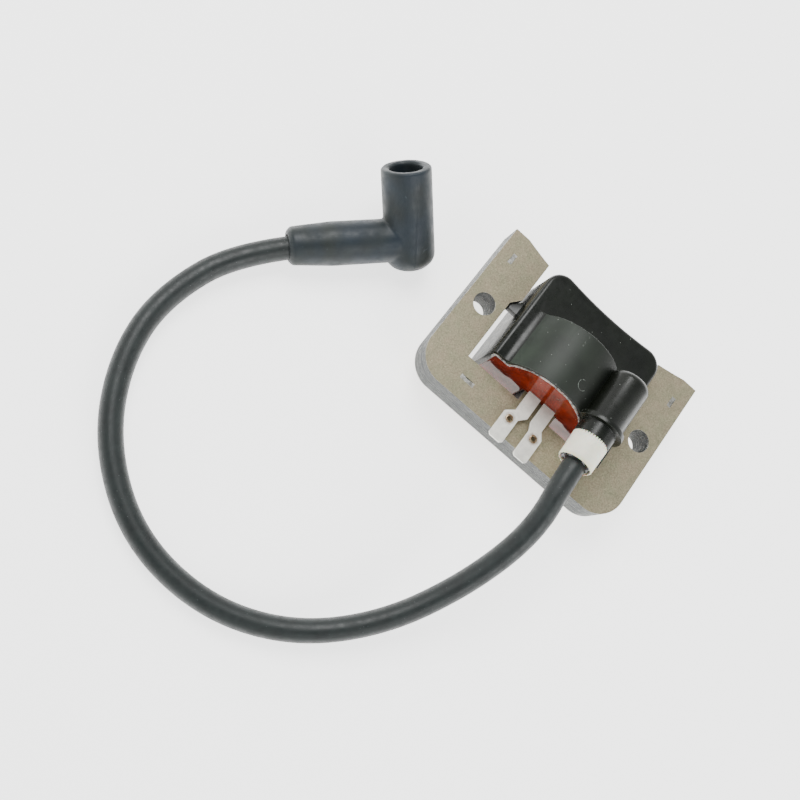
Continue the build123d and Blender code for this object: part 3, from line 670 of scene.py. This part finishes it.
class COIL_OT_housing(bpy.types.Operator):
    """Finishes the moulded housing, its ejector mark and its worn edges"""

    bl_idname = "coil.housing"
    bl_label = "Housing"

    def execute(self, context):
        sizes = context.scene.coil_sizes
        colours = context.scene.coil_colours
        nylon = moulded_nylon(colours)
        rubbed = rubbed_nylon()
        shell = cad_copy("coil_housing")
        rim = housing_low.y + 9 * MM
        for face in soften(shell, sizes.moulded_edge):
            if face.calc_center_median().y < rim:
                face.material_index = 1
        finishes = [nylon, rubbed]
        place_piece(
            "housing_shell", shell, finishes, "root", ["coil_housing"], smooth=28.0
        )
        self.ejector_mark(rubbed)
        return {"FINISHED"}

    @staticmethod
    def ejector_mark(material):
        """A raised broken ring left by an ejector pin on top of the round cover."""
        across = 4.6 * MM
        up = math.sqrt(bulge_radius**2 - across**2)
        foot = bulge_axis + Vector((across, -6.6 * MM, up))
        outwards = Vector((across, 0, up)).normalized()
        turned = outwards.to_track_quat("Z", "Y").to_matrix().to_4x4()
        ring = bmesh.new()
        made = bmesh.ops.create_circle(ring, segments=10, radius=0.11 * MM, cap_ends=True)
        lift = Matrix.Translation((1.6 * MM, 0, 0)) @ Matrix.Rotation(math.radians(90), 4, "X")
        bmesh.ops.transform(ring, matrix=lift, verts=made["verts"])
        bmesh.ops.spin(
            ring, geom=ring.faces[:], cent=(0, 0, 0), axis=(0, 0, 1), angle=math.radians(250), steps=40,
            use_merge=False, use_duplicate=False,
        )
        bmesh.ops.transform(ring, matrix=Matrix.Translation(foot) @ turned, verts=ring.verts)
        bmesh.ops.recalc_face_normals(ring, faces=ring.faces)
        place_piece("ejector_mark", ring, [material], "root")


class COIL_OT_resin(bpy.types.Operator):
    """Lets the poured resin sink between its walls, and adds the flash along the rim"""

    bl_idname = "coil.resin"
    bl_label = "Potting resin"

    def execute(self, context):
        sizes = context.scene.coil_sizes
        block = cad_copy("potting_resin")
        front = self.divide_front(block, sizes.resin_grid)
        edge_verts = {
            vert
            for face in front
            for vert in face.verts
            if any(other not in front for other in vert.link_faces)
        }
        outline = [vert.co.copy() for vert in edge_verts]
        tree = kdtree.KDTree(len(outline))
        for index, place in enumerate(outline):
            tree.insert(place, index)
        tree.balance()
        for vert in {vert for face in front for vert in face.verts}:
            away = tree.find(vert.co)[2]
            depth = 1.0 - math.exp(-away / (0.9 * MM))
            ripple = noise.noise(vert.co * per_mm(6.0)) * 0.35 + noise.noise(vert.co * per_mm(2.2)) * 0.12
            vert.co.y += sizes.resin_sink * depth * (0.75 + ripple)
        place_piece(
            "resin_fill", block, [cast_epoxy(context.scene.coil_colours)], "root",
            ["potting_resin"], smooth=40.0,
        )
        self.flash(outline)
        return {"FINISHED"}

    @staticmethod
    def front_faces(block):
        """Faces of the open side."""
        return {
            face
            for face in block.faces
            if face.normal.y < -0.99 and face.calc_center_median().y < resin_low.y + 0.05 * MM
        }

    def divide_front(self, block, step):
        """Cuts the open side into a fine grid."""
        for axis in (0, 2):
            place = resin_low[axis] + step
            normal = Vector((0, 0, 0))
            normal[axis] = 1.0
            while place < resin_high[axis]:
                faces = self.front_faces(block)
                geometry = list(faces) + list({edge for face in faces for edge in face.edges})
                geometry += list({vert for face in faces for vert in face.verts})
                bmesh.ops.bisect_plane(
                    block, geom=geometry, dist=0.002 * MM, plane_co=normal * place, plane_no=normal
                )
                place += step
        return self.front_faces(block)

    @staticmethod
    def flash(outline):
        """A bead of uneven thickness along the rim over the round cover."""
        draws = random.Random(5)
        reach = bulge_radius - 2.2 * MM
        rim = [
            place
            for place in outline
            if (place - bulge_axis).xz.length > reach and place.z > core_high.z + 2 * MM
        ]
        rim.sort(key=lambda place: math.atan2(place.z - bulge_axis.z, -(place.x - bulge_axis.x)))
        path = [rim[0]]
        for place in rim:
            if (place - path[-1]).length > 0.5 * MM:
                path.append(place)
        curve = bpy.data.curves.new("rim_flash", "CURVE")
        curve.dimensions = "3D"
        curve.bevel_depth = 0.42 * MM
        curve.bevel_resolution = 3
        curve.use_fill_caps = True
        spline = curve.splines.new("POLY")
        spline.points.add(len(path) - 1)
        for point, place in zip(spline.points, path):
            outwards = Vector((place.x - bulge_axis.x, 0, place.z - bulge_axis.z)).normalized()
            swell = 0.5 + 0.5 * noise.noise(place * per_mm(3.0))
            point.co = (*(place + outwards * 0.5 * MM + Vector((0, -0.05 * MM, 0))), 1.0)
            point.radius = max(0.25, 0.55 + 0.6 * swell + draws.uniform(-0.15, 0.15))
        holder = bpy.data.objects.new("flash_path", curve)
        bpy.context.scene.collection.objects.link(holder)
        context = bpy.context.evaluated_depsgraph_get()
        mesh = bpy.data.meshes.new_from_object(holder.evaluated_get(context))
        bead = bmesh.new()
        bead.from_mesh(mesh)
        bmesh.ops.remove_doubles(bead, verts=bead.verts, dist=0.002 * MM)
        smooth_once(bead)
        bpy.data.objects.remove(holder)
        bpy.data.curves.remove(curve)
        bpy.data.meshes.remove(mesh)
        place_piece("rim_flash", bead, [resin_flash()], "root", smooth=60.0)


class COIL_OT_terminals(bpy.types.Operator):
    """Rounds the spade terminals' edges and adds the punched rims of their dimples"""

    bl_idname = "coil.terminals"
    bl_label = "Spade terminals"

    def execute(self, context):
        sizes = context.scene.coil_sizes
        dimples = []
        for mount in ("kill_tab", "supply_tab"):
            tip = Vector(mounts[mount]["pos_m"])
            dimples.append(Vector((tip.x, tip.y + 7.5 * MM, tip.z + 0.4 * MM)))
        tin = tinned_steel(context.scene.coil_colours, dimples)
        rust = rusted_rim()
        for node, dimple in zip(("kill_terminal", "supply_terminal"), dimples):
            blade = cad_copy(node)
            soften(blade, sizes.tab_edge)
            made = place_piece(f"{node}_plate", blade, [tin], "root", [node])
            weighted(made)
            rim = bmesh.new()
            profile = [(-0.3, 0.72), (0.12, 0.72), (0.22, 0.82), (0.2, 1.0), (0.05, 1.25), (-0.3, 1.25)]
            ring_profile(rim, [(a * MM, b * MM) for a, b in profile], dimple, (0, 0, 1), 40)
            place_piece(f"{node}_dimple", rim, [rust], "root", smooth=50.0)
        return {"FINISHED"}


class COIL_OT_collar(bpy.types.Operator):
    """Makes the serrated collar round the lead, and the sealant in its mouth"""

    bl_idname = "coil.collar"
    bl_label = "Lead collar"

    def execute(self, context):
        self.collar(context.scene.coil_sizes, context.scene.coil_colours)
        self.sealant()
        return {"FINISHED"}

    @staticmethod
    def collar(sizes, colours):
        """A turned sleeve whose far edge is cut into fine teeth."""
        length = collar_high.y - collar_low.y
        mouth = Vector((tower_axis.x, collar_low.y, tower_axis.z))
        out = collar_radius
        profile = [
            (0.25 * MM, out - 0.7 * MM),
            (0.0, out - 0.55 * MM),
            (0.0, out - 0.38 * MM),
            (0.3 * MM, out - 0.2 * MM),
            (length * 0.4, out - 0.12 * MM),
            (length - sizes.collar_tooth, out - 0.03 * MM),
            (length - 0.6 * sizes.collar_tooth, out),
            (length - 0.2 * sizes.collar_tooth, out),
            (length, out - 0.05 * MM),
            (length, out - 0.7 * MM),
        ]
        sleeve = bmesh.new()
        steps = sizes.collar_teeth * 6
        ring_profile(sleeve, profile, mouth, (0, 1, 0), steps)
        for vert in sleeve.verts:
            from_axis = Vector((vert.co.x - mouth.x, 0, vert.co.z - mouth.z))
            along = vert.co.y - mouth.y
            if along < length - 0.8 * sizes.collar_tooth or from_axis.length < out - 0.3 * MM:
                continue
            turn = math.atan2(from_axis.z, from_axis.x) * sizes.collar_teeth
            valley = max(0.0, math.sin(turn)) ** 0.6
            depth = (along - (length - 0.8 * sizes.collar_tooth)) / (0.8 * sizes.collar_tooth)
            vert.co -= from_axis.normalized() * 0.42 * MM * valley * depth
            vert.co.y -= 0.3 * MM * valley * depth
        nylon = natural_nylon(colours)
        place_piece(
            "collar_sleeve", sleeve, [nylon], "root", ["lead_collar"], smooth=45.0
        )

    @staticmethod
    def sealant():
        """A wet fillet of sealant between the collar and the lead, uneven round its edge."""
        low, high = [Vector(corner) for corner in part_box("collar_sealant")]
        mouth = Vector((tower_axis.x, low.y, tower_axis.z))
        depth = high.y - low.y
        inner = LEAD_DIAMETER / 2 - 0.1 * MM
        outer = collar_radius - 0.72 * MM
        gap = outer - inner
        profile = [(depth, inner), (depth, outer), (0.35 * MM, outer)]
        for step in range(1, 10):
            share = step / 10
            sag = 0.35 + 0.75 * math.sin(math.pi * share) - 0.3 * share
            profile.append((sag * MM, outer - gap * share))
        profile.append((0.0, inner))
        fill = bmesh.new()
        ring_profile(fill, profile, mouth, (0, 1, 0), 96)
        for vert in fill.verts:
            along = vert.co.y - mouth.y
            if along < 1.4 * MM:
                vert.co.y += 0.22 * MM * noise.noise(vert.co * per_mm(2.4))
        for vert in fill.verts:
            vert.co.y = max(vert.co.y, low.y)
        wet = black_sealant()
        place_piece(
            "sealant_fillet", fill, [wet], "root", ["collar_sealant"], smooth=60.0
        )


class COIL_OT_boot(bpy.types.Operator):
    """Moulds the plug boot in rubber, with soft corners and a parting line"""

    bl_idname = "coil.boot"
    bl_label = "Plug boot"

    def execute(self, context):
        sizes = context.scene.coil_sizes
        source = cad_copy("spark_plug_boot")
        mesh = bpy.data.meshes.new("boot_source")
        source.to_mesh(mesh)
        source.free()
        holder = bpy.data.objects.new("boot_source", mesh)
        context.scene.collection.objects.link(holder)
        remesh = holder.modifiers.new("skin", "REMESH")
        remesh.mode = "VOXEL"
        remesh.voxel_size = sizes.boot_voxel
        graph = context.evaluated_depsgraph_get()
        skinned = bpy.data.meshes.new_from_object(holder.evaluated_get(graph))
        rubber = bmesh.new()
        rubber.from_mesh(skinned)
        bpy.data.objects.remove(holder)
        bpy.data.meshes.remove(mesh)
        bpy.data.meshes.remove(skinned)
        for _ in range(6):
            smooth_once(rubber)
        for vert in rubber.verts:
            spoke = vert.co - elbow
            side = spoke.dot(arm_axis)
            out = spoke - mouth_axis * spoke.dot(mouth_axis)
            if out.length > 6.4 * MM and side > 0:
                vert.co += out.normalized() * sizes.parting_step
        place_piece(
            "boot_rubber", rubber, [moulded_rubber(context.scene.coil_colours)], "boot",
            ["spark_plug_boot"], smooth=70.0,
        )
        steel = plain_moulding("spring_steel", "8E8E8A", "C8C8C4", 0.3, size=1.5, metallic=1.0)
        clip = cad_copy("plug_terminal_clip")
        soften(clip, 0.08 * MM)
        place_piece("terminal_clip", clip, [steel], "boot", ["plug_terminal_clip"])
        dress("contact_spike", plain_moulding("drawn_brass", "8F6E33", "C9A35A", 0.3, metallic=1.0))
        return {"FINISHED"}


class COIL_OT_lead(bpy.types.Operator):
    """Lays the high-tension lead on one smooth curve from the collar to the boot"""

    bl_idname = "coil.lead"
    bl_label = "Ignition lead"

    def execute(self, context):
        curve = bpy.data.curves.new("high_tension_lead", "CURVE")
        curve.dimensions = "3D"
        curve.resolution_u = 16
        curve.bevel_depth = LEAD_DIAMETER / 2
        curve.bevel_resolution = 8
        curve.use_fill_caps = True
        spline = curve.splines.new("NURBS")
        spline.points.add(len(LEAD_ROUTE) - 1)
        for point, place in zip(spline.points, LEAD_ROUTE):
            point.co = (*place, 1.0)
        spline.order_u = 3
        spline.use_endpoint_u = True
        spline.use_smooth = True
        curve.materials.append(lead_rubber(context.scene.coil_colours))
        lead = bpy.data.objects.new("high_tension_lead", curve)
        context.scene.collection.objects.link(lead)
        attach(lead, "root")
        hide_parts("ignition_lead")
        return {"FINISHED"}


class COIL_OT_insides(bpy.types.Operator):
    """Gives the windings, circuit board and other sealed parts their materials"""

    bl_idname = "coil.insides"
    bl_label = "Sealed parts"

    def execute(self, context):
        wire = enamelled_wire()
        moulding = plain_moulding("polyester_moulding", "CFC7AC", "E4DEC8", 0.5)
        black = plain_moulding("epoxy_package", "101112", "25272A", 0.45)
        tin = plain_moulding("tinned_strip", "A7A59C", "D6D4CB", 0.35, metallic=0.8)
        finishes = {
            "primary_winding": wire,
            "secondary_winding": wire,
            "primary_bobbin": moulding,
            "secondary_bobbin": moulding,
            "insulation_tape": plain_moulding("polyester_tape", "BE9A2C", "DDBB4E", 0.3),
            "circuit_board": plain_moulding("glass_epoxy_board", "1E5A2E", "2F7A42", 0.4),
            "storage_capacitor": plain_moulding("dipped_capacitor", "6B2E14", "8A3F1D", 0.35),
            "power_transistor": black,
            "timing_controller": black,
            "diodes": plain_moulding("diode_package", "16181A", "33373B", 0.3),
            "resistors": plain_moulding("ceramic_resistor", "A98F62", "C6AC7C", 0.5),
            "hook_up_wires": plain_moulding("insulated_wire", "8A1F17", "B4342A", 0.4),
            "core_ground_strap": tin,
            "output_pin": plain_moulding("brass_pin", "8F6E33", "C9A35A", 0.3, metallic=1.0),
            "output_wire": plain_moulding("output_wire_sleeve", "8A1F17", "B4342A", 0.4),
            "lead_seal": plain_moulding("rubber_plug", "151617", "2A2C2D", 0.6),
        }
        for node, material in finishes.items():
            dress(node, material)
        return {"FINISHED"}


class COIL_OT_stage(bpy.types.Operator):
    """Sets the floor, the soft lights and the camera"""

    bl_idname = "coil.stage"
    bl_label = "Floor, lights and camera"

    def execute(self, context):
        stage = context.scene.coil_stage
        self.floor(stage, context)
        world = bpy.data.worlds.new("white_surroundings")
        world.use_nodes = True
        background = world.node_tree.nodes["Background"]
        # The room is bright round the sides and darker overhead, where the glossy tops look.
        ways = add(world.node_tree, "TexCoord")
        up = add(world.node_tree, "SeparateXYZ", {0: ways.outputs["Generated"]}).outputs[2]
        overhead = shade(linear("E4ECF2"), stage.zenith)
        stops = [(0.25, linear("FFFFFF")), (0.9, overhead)]
        room = add(world.node_tree, "ValToRGB", {0: up}, stops=stops)
        world.node_tree.links.new(room.outputs[0], background.inputs[0])
        background.inputs[1].default_value = stage.sky
        context.scene.world = world
        key_place = LIGHT_TARGET + Vector((-0.35, 0.25, 0.75))
        fill_place = LIGHT_TARGET + Vector((0.6, -0.2, 0.45))
        self.soft_light(context, "key_light", key_place, LIGHT_TARGET, 0.5, stage.key_power)
        self.soft_light(context, "fill_light", fill_place, LIGHT_TARGET, 0.45, stage.fill_power)
        camera = bpy.data.cameras.new("camera")
        camera.lens = stage.lens
        camera.clip_start = CAMERA_NEAR
        holder = bpy.data.objects.new("camera", camera)
        holder.location = CAMERA_PLACE
        holder.rotation_euler = Euler([math.radians(angle) for angle in CAMERA_TURN])
        context.scene.collection.objects.link(holder)
        context.scene.camera = holder
        return {"FINISHED"}

    @staticmethod
    def floor(stage, context):
        """A plain pale floor under the lowest part of the coil, which gives off a little light."""
        plane = bmesh.new()
        bmesh.ops.create_grid(plane, x_segments=1, y_segments=1, size=FLOOR_HALF)
        bmesh.ops.translate(plane, verts=plane.verts, vec=(0, 0, cad_box[0][2] - 0.02 * MM))
        mesh = bpy.data.meshes.new("floor")
        plane.to_mesh(mesh)
        plane.free()
        made, tree, shader, coords = begin(
            "glowing_floor", Roughness=0.7, Emission_Color=linear("FFFFFF"), Emission_Strength=stage.glow
        )
        paint = tuple(stage.floor)
        tone = noise_ramp(tree, coords.outputs["Object"], 40.0, shade(paint, 0.985), paint)
        tree.links.new(tone, shader.inputs["Base Color"])
        mesh.materials.append(made)
        floor = bpy.data.objects.new("floor", mesh)
        context.scene.collection.objects.link(floor)

    @staticmethod
    def soft_light(context, name, place, target, size, power):
        """A square soft light aimed at a point."""
        light = bpy.data.lights.new(name, "AREA")
        light.size = size
        light.energy = power
        holder = bpy.data.objects.new(name, light)
        holder.location = place
        holder.rotation_euler = (target - place).to_track_quat("-Z", "Y").to_euler()
        context.scene.collection.objects.link(holder)


class COIL_PT_panel(bpy.types.Panel):
    """Lists the coil's pieces and settings"""

    bl_label = "Ignition coil"
    bl_idname = "COIL_PT_panel"
    bl_space_type = "VIEW_3D"
    bl_region_type = "UI"
    bl_category = "Ignition coil"

    def draw(self, context):
        layout = self.layout
        for group in ("coil_sizes", "coil_colours", "coil_stage"):
            settings = getattr(context.scene, group)
            box = layout.box()
            for name in settings.bl_rna.properties.keys():
                if name not in {"rna_type", "name"}:
                    box.prop(settings, name)
        for operator in OPERATORS:
            layout.operator(operator.bl_idname)


OPERATORS = (
    COIL_OT_stage,
    COIL_OT_core,
    COIL_OT_housing,
    COIL_OT_resin,
    COIL_OT_terminals,
    COIL_OT_collar,
    COIL_OT_boot,
    COIL_OT_lead,
    COIL_OT_insides,
)
CLASSES = (CoilSizes, CoilColours, CoilStage, *OPERATORS, COIL_PT_panel)


def register():
    """Registers the classes and hangs the settings on the scene."""
    for item in CLASSES:
        bpy.utils.register_class(item)
    bpy.types.Scene.coil_sizes = PointerProperty(type=CoilSizes)
    bpy.types.Scene.coil_colours = PointerProperty(type=CoilColours)
    bpy.types.Scene.coil_stage = PointerProperty(type=CoilStage)


def unregister():
    """Removes the settings and the classes."""
    del bpy.types.Scene.coil_stage
    del bpy.types.Scene.coil_colours
    del bpy.types.Scene.coil_sizes
    for item in reversed(CLASSES):
        bpy.utils.unregister_class(item)


def main():
    register()
    bpy.ops.coil.stage()
    bpy.ops.coil.core()
    bpy.ops.coil.housing()
    bpy.ops.coil.resin()
    bpy.ops.coil.terminals()
    bpy.ops.coil.collar()
    bpy.ops.coil.boot()
    bpy.ops.coil.lead()
    bpy.ops.coil.insides()


if __name__ == "__main__":
    main()
